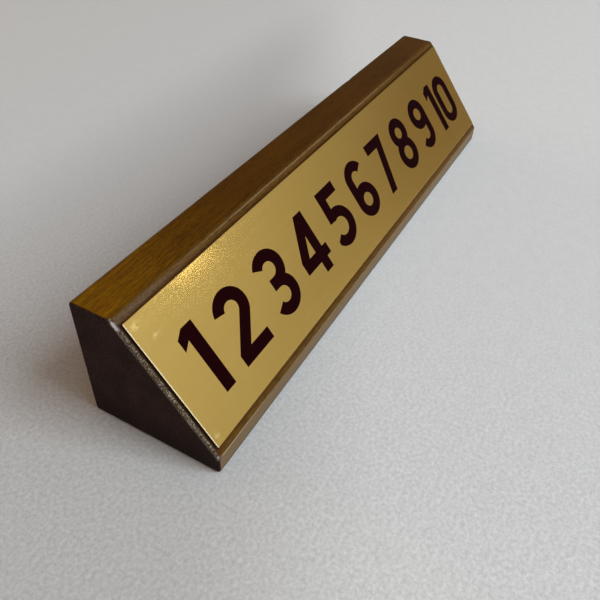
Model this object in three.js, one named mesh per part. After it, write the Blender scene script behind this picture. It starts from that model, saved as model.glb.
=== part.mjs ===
// Desk sign: a wedge of solid wood with a thin metal plate taped to its sloped front.
// Millimetres, +Z up. +X runs along the sign and the plate faces -Y. The origin lies on the
// table, under the middle of the block.

import * as THREE from "three";

// The wooden block
const blockLength = 200;
const blockHeight = 38;
const baseDepth = 39.4;
const topDepth = 12.7;
const toeHeight = 6;
const longArrisRadius = 1;
const endArrisRadius = 0.8;

// The bare wood that shows round the plate, measured on the sloped face. The plate is stuck
// on by hand, a little nearer to the left end and to the top.
const leftMargin = 1.4;
const rightMargin = 2.4;
const upperMargin = 1.8;
const lowerMargin = 2.5;

// The face plate
const plateThickness = 0.45;
const plateCornerRadius = 0.4;
const plateEdgeBreak = 0.1;

// The two strips of double-sided tape under the plate
const tapeWidth = 12;
const tapeThickness = 0.1;
const tapeSetback = 1.2;

// The gap that is left where one piece sticks to the next
const bondGap = 0.25;

// How finely round stretches are divided
const cornerSteps = 4;
const edgeSteps = 5;
const breakSteps = 2;

// The sloped face, seen in the block's section
const slopeRise = blockHeight - toeHeight;
const slopeRun = baseDepth - topDepth;
const slopeLength = Math.hypot(slopeRise, slopeRun);
const slopeAngle = Math.atan2(slopeRise, slopeRun);

// What the slope leaves for the plate, and how far the plate's middle lies from the slope's
const plateLength = blockLength - leftMargin - rightMargin;
const plateWidth = slopeLength - upperMargin - lowerMargin;
const plateShift = (leftMargin - rightMargin) / 2;
const plateRise = (lowerMargin - upperMargin) / 2;

const woodFinish = new THREE.MeshStandardMaterial({
  name: "stained_wood",
  color: 0x4e3214,
  roughness: 0.42,
  metalness: 0,
});

const plateFinish = new THREE.MeshStandardMaterial({
  name: "gold_plate",
  color: 0xc8ab66,
  roughness: 0.32,
  metalness: 1,
});

const tapeFinish = new THREE.MeshStandardMaterial({
  name: "tape",
  color: 0x2a2420,
  roughness: 0.8,
  metalness: 0,
});

// A closed outline through the corners, given anticlockwise, each rounded by an arc that
// touches both of its sides.
function roundedOutline(corners, radius) {
  const outline = new THREE.Shape();
  corners.forEach((corner, index) => {
    const before = corners.at(index - 1);
    const after = corners[(index + 1) % corners.length];
    const arriving = corner.clone().sub(before).normalize();
    const leaving = after.clone().sub(corner).normalize();
    const turn = Math.acos(arriving.dot(leaving));
    const setback = radius * Math.tan(turn / 2);
    const start = corner.clone().addScaledVector(arriving, -setback);
    const inward = new THREE.Vector2(-arriving.y, arriving.x);
    const centre = start.clone().addScaledVector(inward, radius);
    const startAngle = Math.atan2(-inward.y, -inward.x);
    outline.absarc(centre.x, centre.y, radius, startAngle, startAngle + turn, false);
  });
  outline.closePath();
  return outline;
}

function rectangle(length, width, radius) {
  const corners = [
    new THREE.Vector2(-length / 2, -width / 2),
    new THREE.Vector2(length / 2, -width / 2),
    new THREE.Vector2(length / 2, width / 2),
    new THREE.Vector2(-length / 2, width / 2),
  ];
  return roundedOutline(corners, radius);
}

// An outline swept by a depth from z = 0 up, with both end edges rounded inside the outline.
function sweep(outline, depth, edgeRadius, steps) {
  const geometry = new THREE.ExtrudeGeometry(outline, {
    depth: depth - 2 * edgeRadius,
    curveSegments: cornerSteps,
    bevelEnabled: edgeRadius > 0,
    bevelThickness: edgeRadius,
    bevelSize: edgeRadius,
    bevelOffset: -edgeRadius,
    bevelSegments: steps,
  });
  geometry.translate(0, 0, edgeRadius);
  return geometry;
}

// The block's section, with depth across and height up, swept along the sign.
function woodBlock() {
  const front = -baseDepth / 2;
  const back = baseDepth / 2;
  const section = roundedOutline(
    [
      new THREE.Vector2(front, 0),
      new THREE.Vector2(back, 0),
      new THREE.Vector2(back, blockHeight),
      new THREE.Vector2(back - topDepth, blockHeight),
      new THREE.Vector2(front, toeHeight),
    ],
    longArrisRadius,
  );
  const geometry = sweep(section, blockLength, endArrisRadius, edgeSteps);
  geometry.translate(0, 0, -blockLength / 2);
  geometry.rotateX(Math.PI / 2);
  geometry.rotateZ(Math.PI / 2);
  const mesh = new THREE.Mesh(geometry, woodFinish);
  mesh.name = "wood_block";
  return mesh;
}

function facePlate() {
  const outline = rectangle(plateLength, plateWidth, plateCornerRadius);
  const mesh = new THREE.Mesh(sweep(outline, plateThickness, plateEdgeBreak, breakSteps), plateFinish);
  mesh.name = "face_plate";
  mesh.position.z = 2 * bondGap + tapeThickness;
  return mesh;
}

// side is 1 for the strip along the plate's upper edge and -1 for the lower one.
function tapeStrip(name, side) {
  const length = plateLength - 2 * tapeSetback;
  const geometry = new THREE.BoxGeometry(length, tapeWidth, tapeThickness);
  geometry.translate(0, 0, tapeThickness / 2);
  const mesh = new THREE.Mesh(geometry, tapeFinish);
  mesh.name = name;
  mesh.position.y = side * (plateWidth / 2 - tapeSetback - tapeWidth / 2);
  mesh.position.z = bondGap;
  return mesh;
}

// The slope's own frame has x along the sign, y up the slope and z out of it, and starts in
// the middle of the sloped face.
const slope = new THREE.Group();
slope.position.y = -baseDepth / 2 + slopeRun / 2;
slope.position.z = toeHeight + slopeRise / 2;
slope.rotation.x = slopeAngle;

const plateSeat = new THREE.Group();
plateSeat.position.x = plateShift;
plateSeat.position.y = plateRise;
plateSeat.add(facePlate());
plateSeat.add(tapeStrip("tape_upper", 1));
plateSeat.add(tapeStrip("tape_lower", -1));
slope.add(plateSeat);

const sign = new THREE.Group();
sign.add(woodBlock());
sign.add(slope);

export default sign;
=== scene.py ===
import math

import bmesh
import bpy
from mathutils import Matrix, Vector, noise
from mathutils.geometry import delaunay_2d_cdt


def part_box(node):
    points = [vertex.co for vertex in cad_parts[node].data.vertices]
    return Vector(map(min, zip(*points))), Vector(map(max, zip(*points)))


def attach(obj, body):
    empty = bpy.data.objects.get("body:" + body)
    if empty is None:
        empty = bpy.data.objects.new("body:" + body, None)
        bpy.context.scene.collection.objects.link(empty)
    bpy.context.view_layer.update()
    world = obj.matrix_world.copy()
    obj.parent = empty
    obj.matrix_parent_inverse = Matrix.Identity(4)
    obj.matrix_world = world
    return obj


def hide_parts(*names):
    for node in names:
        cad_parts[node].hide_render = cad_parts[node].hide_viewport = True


# A wedge-shaped wooden table sign with a thin gold-coloured metal plate on its slope.
# Metres. +X runs along the sign, the plate faces -Y, and the table is at z = 0.

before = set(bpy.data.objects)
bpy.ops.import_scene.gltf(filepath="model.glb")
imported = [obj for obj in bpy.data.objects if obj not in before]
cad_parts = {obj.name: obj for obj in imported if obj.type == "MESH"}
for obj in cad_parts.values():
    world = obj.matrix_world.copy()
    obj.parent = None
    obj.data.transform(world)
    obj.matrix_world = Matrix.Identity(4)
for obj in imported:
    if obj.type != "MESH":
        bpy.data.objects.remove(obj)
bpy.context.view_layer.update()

MM = 0.001
RIGHT = Vector((1, 0, 0))
UP = Vector((0, 0, 1))

# The block's section, as in the CAD part
TOP_DEPTH = 12.7 * MM
TOE_HEIGHT = 6.0 * MM

# How the block's mesh is made: how near corners are taken as one, how little its faces turn where
# they are one flat side, the rings of faces inside its long sides and its ends, and the spacing of
# the cuts across its straight edges
BLOCK_MERGE = 0.003 * MM
FLAT_ANGLE = math.radians(0.5)
SIDE_RINGS = (0.15 * MM, 1.1 * MM)
END_RING = 0.12 * MM
CUT_SPACING = 0.6 * MM

# The rubbed arrises: where the mark of an arris begins and ends to fade, how deep the rubbing goes, how
# far inside the flat sides' planes it has its full depth, and how near to them nothing is moved
ARRIS_NEAR = 0.15 * MM
ARRIS_FADE = 1.6 * MM
RUB_DEPTH = 0.045 * MM
RUB_INSIDE = 0.08 * MM
FLAT_SKIN = 0.004 * MM

# Knocks that the arrises have taken: where each starts and how far it runs, how far round it
# reaches, and how deep it is
KNOCKS = (
    (Vector((-99.8, 6.9, 37.6)) * MM, Vector((0, -1.2, -1.4)) * MM, 0.9 * MM, 0.26 * MM),
    (Vector((-99.8, -1.9, 27.3)) * MM, Vector((0, 0, 0)), 0.8 * MM, 0.16 * MM),
    (Vector((-99.8, -6.6, 21.7)) * MM, Vector((0, -0.4, -0.5)) * MM, 0.8 * MM, 0.20 * MM),
    (Vector((-99.8, -12.3, 14.9)) * MM, Vector((0, 0, 0)), 0.9 * MM, 0.18 * MM),
    (Vector((-99.6, -19.2, 6.2)) * MM, Vector((0.9, 0, 0)) * MM, 1.0 * MM, 0.24 * MM),
    (Vector((-81.0, -19.4, 6.0)) * MM, Vector((0, 0, 0)), 0.9 * MM, 0.14 * MM),
    (Vector((99.6, 7.0, 37.7)) * MM, Vector((0, 0, 0)), 1.1 * MM, 0.18 * MM),
    (Vector((44.0, 19.5, 37.8)) * MM, Vector((1.5, 0, 0)) * MM, 1.0 * MM, 0.15 * MM),
)

# A knock that is this deep has its full mark.
BARE_KNOCK = 0.25 * MM

# The plate's rounded corners and rolled edges, and how level an edge is that gets rolled
PLATE_CORNER = 0.4 * MM
CORNER_SEGMENTS = 5
PLATE_ROLL = 0.21 * MM
ROLL_SEGMENTS = 4
LEVEL_TOLERANCE = 0.001 * MM

# Smudges on the plate: where they are and how far they reach, in millimetres from the sign's
# origin, along the sign, up the slope and out of it
SMUDGES = (
    (Vector((-96.2, 29.6, 20.0)), Vector((2.6, 1.6, 5.0))),
    (Vector((-93.2, 24.9, 20.0)), Vector((2.0, 1.2, 5.0))),
    (Vector((-96.9, -3.4, 20.0)), Vector((1.3, 2.2, 5.0))),
)

# The row of plain numbers on the plate, measured from the plate's middle
NUMBERS = ("1", "2", "3", "4", "5", "6", "7", "8", "9", "10")
ROW_LEFT = -89.5 * MM
ROW_RIGHT = 91.5 * MM
ROW_FOOT = -11.05 * MM
NUMERAL_HEIGHT = 19.8 * MM
STROKE = 3.5 * MM
BROADEN = 1.1
PAIR_GAP = 1.7 * MM
PRINT_THICKNESS = 0.02 * MM
PRINT_SUNK = 0.01 * MM
ARC_STEP = math.radians(5)
FULL_TURN = 360

# How near corners of the numerals are taken as one. The second is in millimetres.
TRIM_TOLERANCE = 0.0001 * MM
JOIN_TOLERANCE = 0.0001
PRINT_MERGE = 0.01 * MM

# The camera has the photograph's viewing angle, close above the sign's left end.
CAMERA_PLACE = Vector((-168.26, -73.29, 136.29)) * MM
CAMERA_AHEAD = Vector((0.65966, 0.33382, -0.67336))
CAMERA_ROLL = math.radians(3.24)
CAMERA_LENS = 38.136
NEAREST_SEEN = 10 * MM

# The table's half width, and how far it lies under the sign
TABLE_REACH = 25.0
TABLE_DROP = 0.02 * MM


# Materials


class Field:
    """A value that varies over a surface. It wraps a socket, and arithmetic adds Math nodes."""

    def __init__(self, finish, socket):
        self.finish = finish
        self.socket = socket

    def maths(self, operation, *values):
        return self.finish.add("ShaderNodeMath", {"operation": operation}, values)

    def __add__(self, other):
        return self.maths("ADD", self, other)

    def __sub__(self, other):
        return self.maths("SUBTRACT", self, other)

    def __rsub__(self, other):
        return self.maths("SUBTRACT", other, self)

    def __mul__(self, other):
        return self.maths("MULTIPLY", self, other)

    def __truediv__(self, other):
        return self.maths("DIVIDE", self, other)

    def __rtruediv__(self, other):
        return self.maths("DIVIDE", other, self)

    def __pow__(self, other):
        return self.maths("POWER", self, other)

    def __rpow__(self, other):
        return self.maths("POWER", other, self)

    __radd__ = __add__
    __rmul__ = __mul__

    def size(self):
        return self.maths("ABSOLUTE", self)

    def larger(self, other):
        return self.maths("MAXIMUM", self, other)

    def step(self, low, high):
        """0 below low, 1 above high and a smooth rise between. With low above high it falls."""
        settings = {"interpolation_type": "SMOOTHSTEP"}
        values = {"Value": self, "From Min": min(low, high), "From Max": max(low, high)}
        rise = self.finish.add("ShaderNodeMapRange", settings, values)
        return rise if low < high else 1 - rise


class Finish:
    """The node tree of a material or a world that is being made."""

    def __init__(self, owner):
        self.owner = owner
        owner.use_nodes = True
        self.tree = owner.node_tree
        self.tree.nodes.clear()

    def node(self, kind, settings=None, values=()):
        """Any node. Its settings come first, and then the values or links of its sockets."""
        node = self.tree.nodes.new(kind)
        for name, value in (settings or {}).items():
            setattr(node, name, value)
        pairs = values.items() if isinstance(values, dict) else enumerate(values)
        for key, value in pairs:
            socket = node.inputs[key]
            if isinstance(value, Field):
                self.tree.links.new(value.socket, socket)
            else:
                socket.default_value = value
        return node

    def add(self, kind, settings=None, values=(), output=0):
        """One output of a new node."""
        return Field(self, self.node(kind, settings, values).outputs[output])

    def place(self):
        """The point on the piece, in millimetres."""
        point = self.add("ShaderNodeTexCoord", output="Object")
        return self.vector("SCALE", point, Scale=1 / MM)

    def normal(self):
        return self.add("ShaderNodeNewGeometry", output="Normal")

    def attribute(self, name):
        return self.add("ShaderNodeAttribute", {"attribute_name": name}, output="Fac")

    def vector(self, operation, first, second=None, output=0, **named):
        values = {0: first, **named}
        if second is not None:
            values[1] = second
        return self.add("ShaderNodeVectorMath", {"operation": operation}, values, output)

    def dot(self, first, second):
        return self.vector("DOT_PRODUCT", first, second, output="Value")

    def part_of(self, point, axis):
        return self.add("ShaderNodeSeparateXYZ", values=[point], output=axis)

    def noise(self, point, swells, detail=2.0, roughness=0.5):
        """Smooth noise from 0 to 1, with that many swells to a millimetre along x, y and z."""
        scaled = self.vector("MULTIPLY", point, swells)
        values = {"Vector": scaled, "Scale": 1.0, "Detail": detail, "Roughness": roughness}
        return self.add("ShaderNodeTexNoise", values=values)

    def blend(self, mask, first, second):
        """The first colour where the mask is 0 and the second where it is 1."""
        settings = {"data_type": "RGBA", "clamp_factor": True}
        return self.add("ShaderNodeMix", settings, {0: mask, 6: first, 7: second}, output=2)

    def tint(self, colour, factor):
        """The colour made lighter or darker by a factor that varies over the surface."""
        grey = self.add("ShaderNodeCombineColor", values=[factor, factor, factor])
        settings = {"data_type": "RGBA", "blend_type": "MULTIPLY"}
        return self.add("ShaderNodeMix", settings, {0: 1.0, 6: colour, 7: grey}, output=2)

    def bump(self, height, depth, strength):
        """A normal from a height field, where a height of 1 stands out by the depth in metres."""
        values = {"Height": height, "Distance": depth, "Strength": strength}
        return self.add("ShaderNodeBump", values=values)

    def surface(self, **values):
        named = {name.replace("_", " "): value for name, value in values.items()}
        return self.add("ShaderNodeBsdfPrincipled", values=named)

    def shade(self, **values):
        return self.finish(self.surface(**values))

    def seen(self):
        """0 for what only lights the sign, and 1 for what is seen, straight or mirrored.

        What is seen through glass counts too. A Mix Shader takes a sum above 1 as 1.
        """
        straight = self.add("ShaderNodeLightPath", output="Is Camera Ray")
        mirrored = self.add("ShaderNodeLightPath", output="Is Glossy Ray")
        return straight + mirrored + self.add("ShaderNodeLightPath", output="Is Transmission Ray")

    def finish(self, surface, kind="ShaderNodeOutputMaterial"):
        """Ends the tree, and gives back the material or world that it belongs to."""
        self.node(kind, values={"Surface": surface})
        return self.owner


def material(name):
    return Finish(bpy.data.materials.new(name))


def rgb(red, green, blue):
    return (red, green, blue, 1.0)


# The stained wood along its grain, lighter at the top's left end, and its end grain
PALE_GRAIN = rgb(0.138, 0.050, 0.0012)
LEFT_END_GRAIN = rgb(0.176, 0.078, 0.0012)
DARK_GRAIN = rgb(0.036, 0.0115, 0.0004)
RED_GRAIN = rgb(0.095, 0.026, 0.0020)
PALE_END_GRAIN = rgb(0.0360, 0.0175, 0.0150)
DARK_END_GRAIN = rgb(0.0108, 0.0042, 0.0032)

# Where the stain is rubbed, sanded or knocked off, and where light and shade are painted on the wood
RUBBED_ARRIS = rgb(0.128, 0.070, 0.012)
# A painted reflection of the pale table on the toe
TOE_TABLE_REFLECTION = rgb(0.185, 0.122, 0.060)
# Painted highlights along the crests of two arrises
TOP_CREST_HIGHLIGHT = rgb(0.215, 0.140, 0.075)
TOE_CREST_HIGHLIGHT = rgb(0.36, 0.27, 0.18)
# Fibres, greyed by a painted sheen
FIBRES_AND_SHEEN = rgb(0.100, 0.068, 0.044)
# A painted shadow on the slope beside the plate's ends
PAINTED_PLATE_SHADOW = rgb(0.016, 0.009, 0.005)
SANDED = rgb(0.074, 0.049, 0.030)
PALE_FIBRE = rgb(0.33, 0.28, 0.22)
DARK_FIBRE = rgb(0.014, 0.008, 0.005)
# Bare wood at the knocks, with a painted highlight
BARE_WOOD_HIGHLIGHT = rgb(0.42, 0.37, 0.40)

# The plate's face, its rolled edges in painted shade, the bare metal where it is cut with a painted
# highlight, and a painted highlight on its upper edge
DEEP_GOLD = rgb(0.70, 0.445, 0.095)
PALE_GOLD = rgb(0.83, 0.58, 0.165)
SHADED_EDGE_GOLD = rgb(0.16, 0.10, 0.03)
CUT_METAL_HIGHLIGHT = rgb(1.0, 0.90, 0.66)
UPPER_EDGE_HIGHLIGHT = rgb(0.95, 0.80, 0.50)
SMUDGED_GOLD = rgb(0.97, 0.78, 0.34)

# The printed numbers and the tape
DARK_INK = rgb(0.0062, 0.0002, 0.0006)
PALE_INK = rgb(0.0095, 0.0005, 0.0011)
DARK_FILM = rgb(0.022, 0.016, 0.012)
PALE_FILM = rgb(0.045, 0.035, 0.028)

# The paper on the table, in front of the sign and in a painted shadow behind it, each with its mottle
NEAR_PAPER = (rgb(0.575, 0.58, 0.58), rgb(0.605, 0.61, 0.61))
SHADOWED_PAPER = (rgb(0.422, 0.417, 0.416), rgb(0.444, 0.440, 0.440))

# The pale backdrop, which the far table fades into, and the room round it
BACKDROP = rgb(0.52, 0.51, 0.49)
SHADED_BACKDROP = rgb(0.25, 0.205, 0.145)
DIM_ROOM = rgb(0.140, 0.095, 0.045)
WINDOW_LIGHT = rgb(0.84, 0.88, 0.96)
ROOM_BEHIND = rgb(0.27, 0.125, 0.035)


def long_grain(wood, point, upward):
    """The wood's colour along its grain, with the fibres and pores that also give it its relief."""
    along = wood.part_of(point, "X")
    depth = wood.part_of(point, "Y")
    fibres = wood.noise(point, (0.20, 3.4, 3.4), 4.0, 0.7)
    streaks = wood.noise(point, (0.030, 0.85, 0.85), 3.0, 0.6)
    clouds = wood.noise(point, (0.02, 0.06, 0.06), 2.0)
    pores = wood.noise(point, (0.35, 4.0, 4.0), 2.0).step(0.56, 0.68)
    red_patches = wood.noise(point, (0.05, 0.35, 0.35), 2.0).step(0.52, 0.7)
    figure = wood.noise(point, (0.7, 2.0, 2.0), 3.0, 0.7)
    left_end = along.step(-35.0, -105.0) * upward

    tone = (fibres - 0.5) * 2.0 + (streaks - 0.5) * 0.7 + (clouds - 0.5) * 0.8 + 0.5
    colour = wood.blend(tone, DARK_GRAIN, wood.blend(left_end, PALE_GRAIN, LEFT_END_GRAIN))
    colour = wood.blend(red_patches * 0.5, colour, RED_GRAIN)

    # The left end of the top is lighter, though less so along its front arris. The back is darker.
    front_arris = depth.step(9.4, 8.2)
    back = depth.step(18.5, 19.1)
    shade = left_end * (0.66 - front_arris * 0.45) - pores * 0.28 - back * 0.22
    colour = wood.tint(colour, (0.67 + shade - upward * 0.05) * (1 + (figure - 0.5) * 1.3))
    return colour, fibres, pores


def stained_wood(seat):
    """Straight-grained hardwood, stained brown and lacquered, with near-black end grain."""
    wood = material("stained_wood")
    point = wood.place()
    normal = wood.normal()
    along = wood.part_of(point, "X")
    depth = wood.part_of(point, "Y")
    height = wood.part_of(point, "Z")
    toe = wood.part_of(normal, "Y").step(-0.85, -0.97)
    upward = wood.part_of(normal, "Z").step(0.75, 0.95)
    end_grain = wood.part_of(normal, "X").size().step(0.2, 0.6)

    colour, fibres, pores = long_grain(wood, point, upward)
    speckle = wood.noise(point, (2.2, 2.2, 2.2), 3.0, 0.65)
    spots = wood.noise(point, (0.16, 0.16, 0.16), 2.0)
    end_colour = wood.blend(speckle.step(0.38, 0.66), DARK_END_GRAIN, PALE_END_GRAIN)
    colour = wood.blend(end_grain, colour, wood.tint(end_colour, 0.45 + spots * 1.1))

    # The arrises are rubbed paler. The toe's paler colour is a painted reflection of the table.
    arris = wood.attribute("arris")
    rub = wood.noise(point, (0.40, 1.7, 1.7), 4.0, 0.7)
    flecks = wood.noise(point, (1.6, 3.6, 3.6), 3.0, 0.7)
    worn = arris.step(0.15, 0.9) * rub.step(0.3, 0.62) * along.size().step(99.0, 97.0)
    colour = wood.blend(worn * 0.5, colour, RUBBED_ARRIS)
    colour = wood.blend(toe * (0.45 + rub * 0.4), colour, TOE_TABLE_REFLECTION)
    # A painted highlight makes a fine line along the crest of the top's front arris.
    top_crest_highlight = wood.dot(normal, (0.0, -0.424, 0.905)).step(0.965, 0.992) * rub.step(0.2, 0.5)
    top_crest_highlight = top_crest_highlight * along.step(-88.0, -45.0) * along.step(90.0, 20.0)
    colour = wood.blend(top_crest_highlight * 0.55, colour, TOP_CREST_HIGHLIGHT)
    # A painted highlight makes a fine line along the crest of the toe's arris near the left end.
    toe_crest_highlight = wood.dot(normal, (0.0, -0.94, 0.34)).step(0.975, 0.995) * along.step(-70.0, -96.0)
    colour = wood.blend(toe_crest_highlight * 0.5, colour, TOE_CREST_HIGHLIGHT)

    # The front arris of the top is fibrous towards its left end, and greyer there with a painted sheen.
    front = depth.step(7.9, 7.3) * depth.step(1.0, 4.0)
    fibres_and_sheen = arris.step(0.1, 0.6) * along.step(-60.0, -98.0) * front * (1 - end_grain)
    colour = wood.blend(fibres_and_sheen * rub.step(0.25, 0.6) * 0.7, colour, FIBRES_AND_SHEEN)
    colour = wood.tint(colour, 1 + fibres_and_sheen * (flecks - 0.5) * 2.2)

    # A painted shadow darkens the slope beside the plate's ends, and the arrises at its own ends are
    # sanded through to rough, pale fibres.
    from_plate = wood.vector("SUBTRACT", point, tuple(seat.translation / MM))
    at_slope = wood.dot(from_plate, tuple(seat.col[2].xyz)).step(-2.3, -1.6)
    up_slope = wood.dot(from_plate, tuple(seat.col[1].xyz))
    plate_shadow = along.size().step(98.1, 98.5) * at_slope * up_slope.size().step(19.5, 18.7)
    colour = wood.blend(plate_shadow * 0.8, colour, PAINTED_PLATE_SHADOW)
    rougher = wood.noise(point, (0.3, 0.3, 0.3), 2.0).step(0.35, 0.65)
    sanded = along.size().step(98.95, 99.3) * at_slope
    pale_fibres = sanded * flecks.step(0.52, 0.60) * (0.45 + rougher * 0.5)
    dark_fibres = sanded * flecks.step(0.48, 0.40)
    colour = wood.blend(sanded * 0.9, colour, SANDED)
    colour = wood.blend(pale_fibres, colour, PALE_FIBRE)
    colour = wood.blend(dark_fibres * 0.8, colour, DARK_FIBRE)

    # Knocks show bare wood, and painted shade darkens the foot of the ends and of the toe.
    dent = wood.attribute("dent")
    # The knocks' pale lavender colour is bare wood with a painted highlight.
    colour = wood.blend(dent.step(0.55, 0.95) * 0.85, colour, BARE_WOOD_HIGHLIGHT)
    painted_foot_shade = end_grain * height.step(13.0, 6.0) + toe * height.step(2.4, 0.9)
    colour = wood.tint(colour, 1 - painted_foot_shade * 0.26)

    relief = fibres * 0.7 - pores * 0.6 + speckle * end_grain * 0.8 + speckle * worn
    relief = relief + flecks * sanded * (1 - dent) * 1.5 + flecks * fibres_and_sheen
    return wood.shade(
        Base_Color=colour,
        Roughness=0.42 + end_grain * 0.3 + worn * 0.12 + pores * 0.08 + sanded * 0.2,
        Coat_Weight=(0.04 + upward * 0.21) * (1 - end_grain),
        Coat_Roughness=0.22,
        Specular_IOR_Level=0.09,
        Normal=wood.bump(relief, 0.035 * MM, 0.7),
    )


def brushed_gold(seat):
    """Gold-anodised sheet, brushed along its length, with bare cut ends made bright by a painted
    highlight.
    """
    gold = material("gold_plate")
    point = gold.place()
    normal = gold.normal()
    edge = gold.dot(normal, tuple(seat.col[2].xyz)).step(0.97, 0.85)
    cut_end = edge * gold.part_of(normal, "X").size().step(0.1, 0.4)
    # A painted highlight along the upper edge, over the left part of the plate.
    upper_edge_highlight = edge * gold.dot(normal, tuple(seat.col[1].xyz)).step(0.15, 0.5)
    upper_edge_highlight = upper_edge_highlight * gold.part_of(point, "X").step(10.0, -35.0)

    # The brushing, in axes that are turned to the slope
    turned = gold.add(
        "ShaderNodeMapping",
        {"vector_type": "POINT"},
        {"Vector": point, "Rotation": (-seat.to_euler().x, 0.0, 0.0)},
    )
    grooves = gold.noise(turned, (0.05, 6.0, 1.0), 3.0, 0.7)
    fine = gold.noise(turned, (0.10, 22.0, 1.0), 2.0, 0.6)
    lines = gold.noise(turned, (0.015, 1.4, 1.0), 3.0, 0.65)
    haze = gold.noise(turned, (0.07, 0.09, 0.09), 3.0, 0.6)
    colour = gold.blend(grooves * 0.4 + lines * 0.35 + haze * 0.25, DEEP_GOLD, PALE_GOLD)
    # Painted shade darkens the rolled edges.
    colour = gold.blend(edge, colour, SHADED_EDGE_GOLD)
    # The cut ends are bare metal, made pale and less metallic as a painted highlight.
    colour = gold.blend(cut_end, colour, CUT_METAL_HIGHLIGHT)
    colour = gold.blend(upper_edge_highlight * 0.7, colour, UPPER_EDGE_HIGHLIGHT)

    smudge = 0
    for centre, reach in SMUDGES:
        offset = gold.vector("DIVIDE", gold.vector("SUBTRACT", turned, tuple(centre)), tuple(reach))
        smudge = smudge + gold.vector("LENGTH", offset, output="Value").step(1.0, 0.1)
    smudge = smudge * gold.noise(turned, (0.5, 0.9, 0.9), 3.0, 0.6).step(0.38, 0.62)
    colour = gold.blend(smudge * 0.5, colour, SMUDGED_GOLD)
    return gold.shade(
        Base_Color=colour,
        Metallic=1 - cut_end * 0.5 - smudge * 0.18,
        Roughness=0.075 + lines * 0.05 + haze * 0.05 + edge * 0.27 + smudge * 0.1,
        Normal=gold.bump(grooves * 0.5 + fine * 0.5, 0.005 * MM, 0.5),
    )


def dark_print():
    ink = material("print")
    mottle = ink.noise(ink.place(), (1.2, 1.2, 1.2), 3.0, 0.6)
    colour = ink.blend(mottle.step(0.3, 0.7), DARK_INK, PALE_INK)
    return ink.shade(Base_Color=colour, Roughness=0.55 + mottle * 0.1, Specular_IOR_Level=0.02)


def film_tape():
    film = material("tape")
    wrinkle = film.noise(film.place(), (0.4, 1.0, 1.0), 3.0)
    colour = film.blend(wrinkle, DARK_FILM, PALE_FILM)
    return film.shade(Base_Color=colour, Roughness=0.75 + wrinkle * 0.15)


def table_top():
    """Pale paper with a mottle and a fine grain, in a painted shadow behind the sign, that fades far
    away.
    """
    top = material("table_top")
    point = top.place()
    along = top.part_of(point, "X")
    depth = top.part_of(point, "Y")
    mottle = top.noise(point, (0.22, 0.22, 0.22), 4.0, 0.65)
    grain = top.noise(point, (1.0, 1.0, 1.0), 3.0, 0.7)

    # A painted shadow darkens the paper behind the sign, less so far behind it.
    behind = top.dot(point, (-0.45, 0.89, 0.0)).step(-20.0, 40.0)
    behind = behind * (1 - depth.step(85.0, 140.0) * 0.6)
    colour = top.blend(mottle.step(0.25, 0.75), *NEAR_PAPER)
    colour = top.blend(behind, colour, top.blend(mottle, *SHADOWED_PAPER))

    # The grain stands out most at the left end, and least far along the sign and far behind it.
    contrast = 0.82 - along.step(-80.0, 40.0) * 0.54
    contrast = contrast * (1 - depth.step(60.0, 110.0) * 0.5)
    colour = top.tint(colour, 1 + (grain - 0.5) * contrast)

    paper = top.surface(Base_Color=colour, Roughness=0.75, Specular_IOR_Level=0.2)
    plain = top.add("ShaderNodeEmission", values={"Color": BACKDROP, "Strength": 1.0})
    far = top.vector("LENGTH", point, output="Value").step(600.0, 1400.0)
    return top.finish(top.add("ShaderNodeMixShader", values=[far * top.seen(), paper, plain]))


# Pieces


def make_piece(name, bm, finish, smooth=True):
    """A finished piece at the origin, from a bmesh that is already in its place."""
    mesh = bpy.data.meshes.new(name)
    bm.to_mesh(mesh)
    bm.free()
    mesh.materials.append(finish)
    if smooth:
        mesh.shade_smooth()
    piece = bpy.data.objects.new(name, mesh)
    bpy.context.scene.collection.objects.link(piece)
    return piece


def new_verts(made):
    """The vertices among what an operator has made."""
    return [item for item in made["geom"] if isinstance(item, bmesh.types.BMVert)]


def flat_sides():
    """The planes of the block's two ends and five long sides: a point and an outward normal each."""
    low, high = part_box("wood_block")
    top_front = Vector((0, high.y - TOP_DEPTH, high.z))
    toe_top = Vector((0, low.y, low.z + TOE_HEIGHT))
    down = toe_top - top_front
    slope_normal = Vector((0, down.z, -down.y)).normalized()
    ends = [(low, Vector((-1, 0, 0))), (high, Vector((1, 0, 0)))]
    long_sides = [
        (low, Vector((0, -1, 0))),
        (high, Vector((0, 1, 0))),
        (low, Vector((0, 0, -1))),
        (high, Vector((0, 0, 1))),
        (top_front, slope_normal),
    ]
    return ends, long_sides


def smooth_step(value, low, high):
    share = min(1.0, max(0.0, (value - low) / (high - low)))
    return share * share * (3 - 2 * share)


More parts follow.
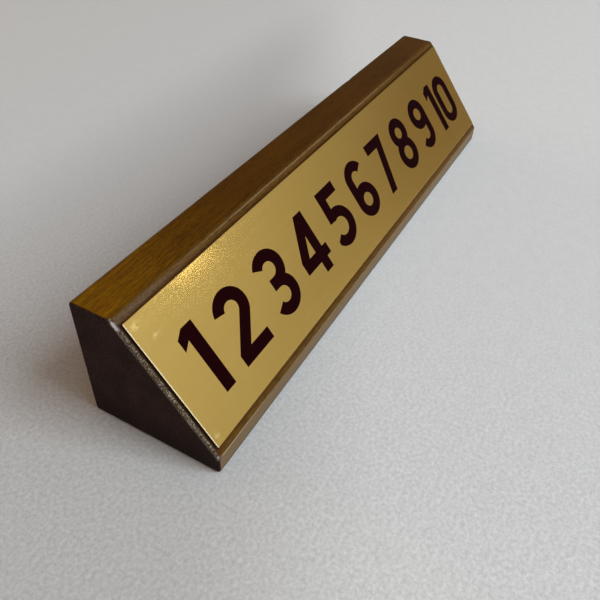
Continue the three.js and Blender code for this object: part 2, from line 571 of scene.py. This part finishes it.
def divided_block(long_sides):
    """The CAD block, with each flat side made one face and then divided, finely along the arrises."""
    bm = bmesh.new()
    bm.from_mesh(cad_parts["wood_block"].data)
    bmesh.ops.remove_doubles(bm, verts=bm.verts, dist=BLOCK_MERGE)
    bmesh.ops.dissolve_limit(bm, angle_limit=FLAT_ANGLE, verts=bm.verts, edges=bm.edges)
    ends = [face for face in bm.faces if abs(face.normal.x) > 0.999]
    long_faces = [
        face for face in bm.faces if any(face.normal.dot(normal) > 0.99999 for _, normal in long_sides)
    ]
    bmesh.ops.inset_individual(bm, faces=ends, thickness=END_RING, use_even_offset=True)
    for width in SIDE_RINGS:
        bmesh.ops.inset_individual(bm, faces=long_faces, thickness=width, use_even_offset=True)

    # Edges with the same direction get the same number of cuts, so that their cuts meet.
    straight = {}
    for edge in bm.edges:
        if edge.calc_length() > 3 * CUT_SPACING:
            run = edge.verts[1].co - edge.verts[0].co
            direction = tuple(round(abs(share), 2) for share in run.normalized())
            straight.setdefault(direction, []).append(edge)
    for _, edges in sorted(straight.items()):
        longest = max(edge.calc_length() for edge in edges)
        cuts = round(longest / CUT_SPACING)
        bmesh.ops.subdivide_edges(bm, edges=edges, cuts=cuts, use_grid_fill=True)
    return bm


def knock_depth(place):
    """How deep the knocks go at a place on the block."""
    deepest = 0.0
    for start, run, reach, depth in KNOCKS:
        share = (place - start).dot(run) / (run.length_squared or 1.0)
        away = place - start - run * min(1.0, max(0.0, share))
        deepest = max(deepest, depth * (1 - smooth_step(away.length / reach, 0.2, 1.0)))
    return deepest


def wooden_block(finish):
    """The wedge-shaped block, with rubbed arrises and small knocks.

    It keeps two marks for its finish: how near each point is to an arris, and how deep it is knocked.
    """
    ends, long_sides = flat_sides()
    bm = divided_block(long_sides)
    arris_layer = bm.verts.layers.float.new("arris")
    dent_layer = bm.verts.layers.float.new("dent")
    bm.normal_update()
    for vert in bm.verts:
        depths = sorted(abs((vert.co - point).dot(normal)) for point, normal in ends + long_sides)
        vert[arris_layer] = 1 - smooth_step(depths[1], ARRIS_NEAR, ARRIS_FADE)
        if depths[0] < FLAT_SKIN:
            continue
        spot = vert.co / MM
        rub = noise.noise(spot * 0.9) * 0.5 + noise.noise(spot * 2.3) * 0.3
        wear = RUB_DEPTH * max(0.0, rub + 0.25)
        knock = knock_depth(vert.co)
        rough = 1 + 0.5 * noise.noise(spot * 3.1)
        vert.co -= vert.normal * (wear + knock * rough) * smooth_step(depths[0], 0, RUB_INSIDE)
        vert[dent_layer] = min(1.0, knock / BARE_KNOCK)
    return make_piece("wooden_block", bm, finish)


def plate_sheet(seat, finish):
    """The metal plate, with its cut edges rolled over a little by the shears."""
    unseat = seat.inverted()
    corners = [unseat @ vert.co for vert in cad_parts["face_plate"].data.vertices]
    low = Vector(min(corner[axis] for corner in corners) for axis in range(3))
    high = Vector(max(corner[axis] for corner in corners) for axis in range(3))
    bm = bmesh.new()
    bmesh.ops.create_grid(bm, x_segments=1, y_segments=1, size=1)
    bmesh.ops.scale(bm, verts=bm.verts, vec=((high.x - low.x) / 2, (high.y - low.y) / 2, 1))
    bmesh.ops.bevel(
        bm,
        geom=bm.verts[:],
        offset=PLATE_CORNER,
        segments=CORNER_SEGMENTS,
        profile=0.5,
        affect="VERTICES",
        material=-1,
    )
    sunk = bmesh.ops.extrude_face_region(bm, geom=bm.faces[:])
    bmesh.ops.translate(bm, verts=new_verts(sunk), vec=(0, 0, low.z - high.z))
    bmesh.ops.bevel(
        bm,
        geom=[e for e in bm.edges if abs(e.verts[0].co.z - e.verts[1].co.z) < LEVEL_TOLERANCE],
        offset=PLATE_ROLL,
        segments=ROLL_SEGMENTS,
        profile=0.5,
        affect="EDGES",
        material=-1,
    )
    bmesh.ops.recalc_face_normals(bm, faces=bm.faces[:])
    for face in bm.faces:
        face.smooth = abs(face.normal.z) < 0.99
    bmesh.ops.transform(bm, matrix=seat, verts=bm.verts)
    return make_piece("metal_plate", bm, finish, smooth=False)


def plate_seat():
    """Where the plate's front face is: x along it, y up it, z out of it, from its middle."""
    low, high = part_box("face_plate")
    middle = (low + high) / 2
    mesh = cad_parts["face_plate"].data
    facing_out = [face for face in mesh.polygons if face.normal.y < 0 < face.normal.z]
    outward = max(facing_out, key=lambda face: face.area).normal.copy()
    lift = max((vert.co - middle).dot(outward) for vert in mesh.vertices)
    seat = Matrix((RIGHT, outward.cross(RIGHT), outward)).transposed().to_4x4()
    seat.translation = middle + outward * lift
    return seat


def covers(band, place):
    """Whether a place lies inside a band's outline, which runs anticlockwise and is convex."""
    sides = zip(band, band[1:] + band[:1])
    return all((end - start).cross(place - start) > 0 for start, end in sides)


class Pen:
    """Draws one numeral as flat bands of an even width, and joins them into one thin solid."""

    height = NUMERAL_HEIGHT
    half = STROKE / 2
    bowl = (NUMERAL_HEIGHT - STROKE) / 4
    width = 2 * bowl + STROKE

    def __init__(self, width=None):
        self.width = width or Pen.width
        self.bm = bmesh.new()

    def line(self, x0, y0, x1, y1, weight=1.0):
        """A straight band from one point to another. A weight below 1 makes it narrower."""
        start = Vector((x0, y0, 0))
        end = Vector((x1, y1, 0))
        across = (end - start).cross(UP).normalized() * self.half * weight
        sides = [self.bm.verts.new(start - across), self.bm.verts.new(start + across)]
        grown = bmesh.ops.extrude_edge_only(self.bm, edges=[self.bm.edges.new(sides)])
        bmesh.ops.translate(self.bm, verts=new_verts(grown), vec=end - start)

    def arc(self, x, y, radius, start, end):
        """A band round (x, y) from the start angle anticlockwise to the end angle, in degrees."""
        turn = math.radians(end - start)
        way = Vector((math.cos(math.radians(start)), math.sin(math.radians(start)), 0))
        centre = Vector((x, y, 0))
        inner = self.bm.verts.new(centre + way * (radius - self.half))
        outer = self.bm.verts.new(centre + way * (radius + self.half))
        bmesh.ops.spin(
            self.bm,
            geom=[inner, outer, self.bm.edges.new([inner, outer])],
            cent=centre,
            axis=UP,
            angle=turn,
            steps=round(turn / ARC_STEP),
            use_merge=end - start == FULL_TURN,
        )

    def trim(self):
        """Cuts off what lies outside the numeral's own box."""
        sides = (
            ((0, 0, 0), (0, -1, 0)),
            ((0, self.height, 0), (0, 1, 0)),
            ((0, 0, 0), (-1, 0, 0)),
            ((self.width, 0, 0), (1, 0, 0)),
        )
        for point, outward in sides:
            bmesh.ops.bisect_plane(
                self.bm,
                geom=self.bm.verts[:] + self.bm.edges[:] + self.bm.faces[:],
                dist=TRIM_TOLERANCE,
                plane_co=point,
                plane_no=outward,
                clear_outer=True,
            )

    def filled(self):
        """The corners of the triangles that fill the bands' common outline, in millimetres."""
        self.bm.normal_update()
        bmesh.ops.reverse_faces(self.bm, faces=[face for face in self.bm.faces if face.normal.z < 0])
        self.bm.verts.index_update()
        places = [vert.co.xy / MM for vert in self.bm.verts]
        edges = [[vert.index for vert in edge.verts] for edge in self.bm.edges]
        bands = [[places[vert.index] for vert in face.verts] for face in self.bm.faces]
        places, _, triangles = delaunay_2d_cdt(places, edges, [], 0, JOIN_TOLERANCE)[:3]
        kept = []
        for triangle in triangles:
            middle = sum((places[index] for index in triangle), Vector((0, 0))) / 3
            if any(covers(band, middle) for band in bands):
                kept.append(sorted(tuple(places[index]) for index in triangle))
        return sorted(kept)

    def joined(self):
        """A thin solid with the outline of all the bands together."""
        self.trim()
        bm = bmesh.new()
        for corners in self.filled():
            bm.faces.new([bm.verts.new((x * MM, y * MM, 0)) for x, y in corners])
        self.bm.free()
        bmesh.ops.remove_doubles(bm, verts=bm.verts, dist=PRINT_MERGE)
        bmesh.ops.dissolve_degenerate(bm, dist=PRINT_MERGE, edges=bm.edges)
        bmesh.ops.recalc_face_normals(bm, faces=bm.faces[:])
        bmesh.ops.delete(bm, geom=[edge for edge in bm.edges if edge.is_wire], context="EDGES")
        risen = bmesh.ops.extrude_face_region(bm, geom=bm.faces[:])
        bmesh.ops.translate(bm, verts=new_verts(risen), vec=UP * (PRINT_THICKNESS + PRINT_SUNK))
        bmesh.ops.recalc_face_normals(bm, faces=bm.faces[:])
        mesh = bpy.data.meshes.new("numeral")
        bm.to_mesh(mesh)
        bm.free()
        return mesh


def numeral(figure):
    """The mesh and the width of one numeral, standing on y = 0 with its left side at x = 0."""
    high, half, bowl, wide = Pen.height, Pen.half, Pen.bowl, Pen.width
    middle = wide / 2
    low_bowl = half + bowl
    high_bowl = high - half - bowl
    if figure == "1":
        wide = 5.9 * MM
        pen = Pen(wide)
        stem = wide - half
        pen.line(stem, 0, stem, high)
        pen.line(stem, high - 0.46 * MM, -2.0 * MM, high - 4.93 * MM, weight=0.8)
    elif figure == "2":
        pen = Pen()
        bowl_end = -40.3
        pen.arc(middle, high_bowl, bowl, bowl_end, 168)
        bend = math.radians(bowl_end)
        x, y = middle + bowl * math.cos(bend), high_bowl + bowl * math.sin(bend)
        reach = y / math.cos(bend) + half
        pen.line(x, y, x + reach * math.sin(bend), y - reach * math.cos(bend))
        pen.line(0, half, wide, half)
    elif figure == "3":
        pen = Pen()
        pen.arc(middle, high_bowl, bowl, -90, 152)
        pen.arc(middle, low_bowl, bowl, -152, 90)
        pen.line(middle - 2.1 * MM, high / 2, middle, high / 2)
    elif figure == "4":
        wide += 0.9 * MM
        pen = Pen(wide)
        stem, bar = wide - 3.9 * MM, 5.4 * MM
        pen.line(stem, 0, stem, high)
        pen.line(0, bar, wide, bar)
        pen.line(stem + 0.2 * MM, high + 0.6 * MM, 0.6 * MM, bar - 0.2 * MM)
    elif figure == "5":
        wide -= 0.2 * MM
        pen = Pen(wide)
        big = 4.75 * MM
        pen.line(1.0 * MM, high - half, wide - 0.8 * MM, high - half)
        pen.line(1.15 * MM + half, high, 0.75 * MM + half, 9.3 * MM)
        pen.arc(wide - half - big, half + big, big, -148, 122)
    elif figure in "69":
        pen = Pen()
        pen.arc(middle, high_bowl, bowl, 32, 180)
        pen.line(half, high_bowl, half, low_bowl)
        pen.arc(middle, low_bowl, bowl, 0, FULL_TURN)
    elif figure == "7":
        pen = Pen(wide - 0.5 * MM)
        pen.line(0, high - half, 9.3 * MM, high - half)
        pen.line(9.62 * MM, high + 1.0 * MM, 3.31 * MM, -1.0 * MM)
    elif figure == "8":
        small, big = bowl - 0.25 * MM, bowl + 0.25 * MM
        pen = Pen(2 * (big + half))
        pen.arc(big + half, half + big, big, 0, FULL_TURN)
        pen.arc(big + half, high - half - small, small, 0, FULL_TURN)
    else:
        pen = Pen()
        pen.arc(middle, high_bowl, bowl, 0, 180)
        pen.arc(middle, low_bowl, bowl, 180, FULL_TURN)
        pen.line(half, low_bowl, half, high_bowl)
        pen.line(wide - half, low_bowl, wide - half, high_bowl)
    mesh = pen.joined()
    if figure == "9":
        # The shape of the 6, turned half round
        mesh.transform(Matrix.Translation((pen.width, high, 0)) @ Matrix.Rotation(math.pi, 4, "Z"))
    mesh.transform(Matrix.Diagonal((BROADEN, 1, 1, 1)))
    return mesh, pen.width * BROADEN


def printed_numbers(seat, finish):
    """The row of numbers, with the same gap between each and the next."""
    meshes = {figure: numeral(figure) for figure in "0123456789"}
    lengths = []
    for number in NUMBERS:
        lengths.append(sum(meshes[figure][1] for figure in number) + PAIR_GAP * (len(number) - 1))
    gap = (ROW_RIGHT - ROW_LEFT - sum(lengths)) / (len(NUMBERS) - 1)
    bm = bmesh.new()
    start = ROW_LEFT
    for number, length in zip(NUMBERS, lengths):
        left = start
        for figure in number:
            mesh, width = meshes[figure]
            before = len(bm.verts)
            bm.from_mesh(mesh)
            bm.verts.ensure_lookup_table()
            bmesh.ops.translate(bm, verts=bm.verts[before:], vec=(left, ROW_FOOT, -PRINT_SUNK))
            left += width + PAIR_GAP
        start += length + gap
    bmesh.ops.transform(bm, matrix=seat, verts=bm.verts)
    return make_piece("printed_numbers", bm, finish, smooth=False)


seat = plate_seat()
wood_finish = stained_wood(seat)
finishes = {
    "wood_block": wood_finish,
    "face_plate": brushed_gold(seat),
    "tape_upper": film_tape(),
    "tape_lower": film_tape(),
}
for name, finish in finishes.items():
    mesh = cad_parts[name].data
    mesh.materials.clear()
    mesh.materials.append(finish)

block = wooden_block(wood_finish)
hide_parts("wood_block")
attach(block, "root")

plate = plate_sheet(seat, finishes["face_plate"])
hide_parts("face_plate")
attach(plate, "root")

numbers = printed_numbers(seat, dark_print())
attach(numbers, "root")


# The table, the light and the camera

floor_bm = bmesh.new()
bmesh.ops.create_grid(floor_bm, x_segments=1, y_segments=1, size=TABLE_REACH)
bmesh.ops.translate(floor_bm, verts=floor_bm.verts, vec=(0, 0, -TABLE_DROP))
make_piece("table_top", floor_bm, table_top())


def bearing(azimuth, elevation):
    """The direction with that azimuth from +X towards +Y and that elevation, in degrees."""
    a, e = math.radians(azimuth), math.radians(elevation)
    return Vector((math.cos(a) * math.cos(e), math.sin(a) * math.cos(e), math.sin(e)))


def soft_box(name, place, width, height, brightness, colour=(1, 1, 1), mirrored=True):
    """A rectangular lamp that faces the sign. One with a brightness of 1 would look white."""
    lamp = bpy.data.lights.new(name, "AREA")
    lamp.shape = "RECTANGLE"
    lamp.size = width
    lamp.size_y = height
    lamp.energy = brightness * math.pi * width * height
    lamp.color = colour
    holder = bpy.data.objects.new(name, lamp)
    holder.matrix_world = Matrix.Translation(place) @ place.to_track_quat("Z", "Y").to_matrix().to_4x4()
    holder.visible_glossy = mirrored
    bpy.context.scene.collection.objects.link(holder)


soft_box("key", bearing(-80, 45) * 2.0, 1.0, 1.3, 9.2, (0.83, 0.94, 1.0), mirrored=False)
soft_box("strip", bearing(-50.7, 28.6) * 3.0, 0.08, 0.48, 10.5)
soft_box("fill", bearing(-130, 17) * 2.5, 2.0, 0.8, 2.3, (1.0, 0.92, 0.79))
soft_box("back", bearing(95, 11) * 2.5, 2.0, 0.8, 4.6, (1.0, 0.84, 0.66), mirrored=False)


def studio():
    """A dim warm room with a bright window side, and the pale backdrop low down all round."""
    sky = Finish(bpy.data.worlds.new("studio"))
    direction = sky.add("ShaderNodeTexCoord", output="Generated")
    rise = sky.part_of(direction, "Z")

    towards_window = sky.dot(direction, tuple(bearing(-75, 45)))
    window_side = ((towards_window - 0.45).larger(0) / 0.55) ** 1.4
    behind = sky.dot(direction, tuple(bearing(100, 35))).step(0.1, 0.9)
    room = sky.blend(window_side, DIM_ROOM, WINDOW_LIGHT)
    room = sky.blend(behind, room, ROOM_BEHIND)

    # The backdrop is higher on the left and behind than in front, and shaded past the far end.
    turned_away = sky.dot(direction, tuple(bearing(-20, 10))).step(0.55, 0.10)
    far_end = sky.dot(direction, tuple(bearing(-10, 8))).step(0.80, 0.97)
    walls = rise.step(0.19, 0.12).larger(rise.step(0.42, 0.16) * turned_away)
    walls = walls.larger(rise.step(0.25, 0.17) * far_end)
    shaded = far_end * rise.step(0.0, 0.10)
    room = sky.blend(walls, room, sky.blend(shaded, BACKDROP, SHADED_BACKDROP))
    return sky.finish(sky.add("ShaderNodeBackground", values={"Color": room}), "ShaderNodeOutputWorld")


bpy.context.scene.world = studio()

camera = bpy.data.objects.new("camera", bpy.data.cameras.new("camera"))
camera.data.lens = CAMERA_LENS
camera.data.clip_start = NEAREST_SEEN
level = CAMERA_AHEAD.to_track_quat("-Z", "Y").to_matrix().to_4x4()
camera.matrix_world = Matrix.Translation(CAMERA_PLACE) @ level @ Matrix.Rotation(CAMERA_ROLL, 4, "Z")
bpy.context.scene.collection.objects.link(camera)
bpy.context.scene.camera = camera
bpy.context.scene.view_settings.view_transform = "Standard"
